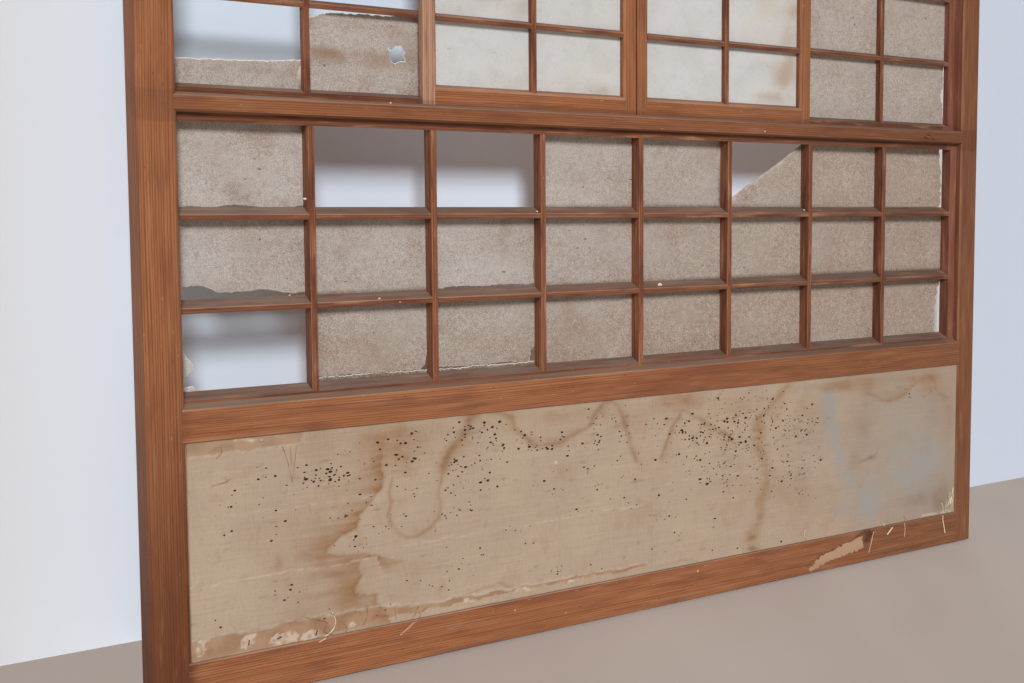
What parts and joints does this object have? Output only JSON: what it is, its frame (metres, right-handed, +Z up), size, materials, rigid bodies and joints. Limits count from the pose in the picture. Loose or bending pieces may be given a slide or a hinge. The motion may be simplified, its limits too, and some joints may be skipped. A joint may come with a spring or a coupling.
{
  "type": "shoji sliding screen",
  "caption": "Wooden lattice sliding screen with torn paper, a stained low wainscot and a pair of small inner sliding screens that part sideways.",
  "frame": {"origin": "middle of the lower edge of the screen, at half its thickness", "axes": "+X across the screen, to the right as seen from the lattice side; -Y out of the lattice side; +Z up"},
  "size_m": [0.8808, 0.027, 1.757],
  "materials": {
    "frame_wood": "old planed softwood, matt, dusty",
    "lattice_wood": "old planed softwood, matt, dusty",
    "screen_frame_wood": "old planed softwood, matt",
    "board_wood": "bare softwood",
    "stained_facing": "thin facing with brown water stains and black mould spots",
    "old_paper": "greyed handmade paper, torn",
    "white_paper": "whiter paper with faint stains"
  },
  "bodies": {
    "frame": {"stile_left": "frame_wood", "stile_right": "frame_wood", "top_rail": "frame_wood", "upper_guide_rail": "frame_wood", "lower_guide_rail": "frame_wood", "belt_rail": "frame_wood", "bottom_rail": "frame_wood", "lower_strip_bottom": "lattice_wood", "lower_strip_top": "lattice_wood", "lower_strip_left": "lattice_wood", "lower_strip_right": "lattice_wood", "top_strip_bottom": "lattice_wood", "top_strip_top": "lattice_wood", "top_strip_left": "lattice_wood", "top_strip_right": "lattice_wood", "lower_upright_1": "lattice_wood", "lower_upright_2": "lattice_wood", "lower_upright_3": "lattice_wood", "lower_upright_4": "lattice_wood", "lower_upright_5": "lattice_wood", "lower_upright_6": "lattice_wood", "lower_upright_7": "lattice_wood", "lower_crossbar_1": "lattice_wood", "lower_crossbar_2": "lattice_wood", "top_uprights": "lattice_wood", "top_crossbars": "lattice_wood", "left_side_strip_bottom": "lattice_wood", "left_side_strip_top": "lattice_wood", "left_side_strip_outer": "lattice_wood", "left_side_upright": "lattice_wood", "left_side_crossbars": "lattice_wood", "right_side_strip_bottom": "lattice_wood", "right_side_strip_top": "lattice_wood", "right_side_strip_outer": "lattice_wood", "right_side_upright": "lattice_wood", "right_side_crossbars": "lattice_wood", "window_post_left": "lattice_wood", "window_post_right": "lattice_wood", "wainscot_board": "board_wood", "wainscot_facing_left": "stained_facing", "wainscot_facing_right": "stained_facing", "lower_paper": "old_paper", "left_side_paper": "old_paper", "right_side_paper": "old_paper", "top_paper": "old_paper"},
    "left_screen": {"left_screen_outer_stile": "screen_frame_wood", "left_screen_inner_stile": "screen_frame_wood", "left_screen_bottom_rail": "screen_frame_wood", "left_screen_top_rail": "screen_frame_wood", "left_screen_upright": "lattice_wood", "left_screen_crossbars": "lattice_wood", "left_screen_paper": "white_paper"},
    "right_screen": {"right_screen_outer_stile": "screen_frame_wood", "right_screen_inner_stile": "screen_frame_wood", "right_screen_bottom_rail": "screen_frame_wood", "right_screen_top_rail": "screen_frame_wood", "right_screen_upright": "lattice_wood", "right_screen_crossbars": "lattice_wood", "right_screen_paper": "white_paper"}
  },
  "joints": [
    {"name": "left_screen_slide", "type": "slide", "parent": "frame", "child": "left_screen", "axis": [-1, 0, 0], "range_m": [0, 0.1945]},
    {"name": "right_screen_slide", "type": "slide", "parent": "frame", "child": "right_screen", "axis": [1, 0, 0], "range_m": [0, 0.2165]}
  ]
}
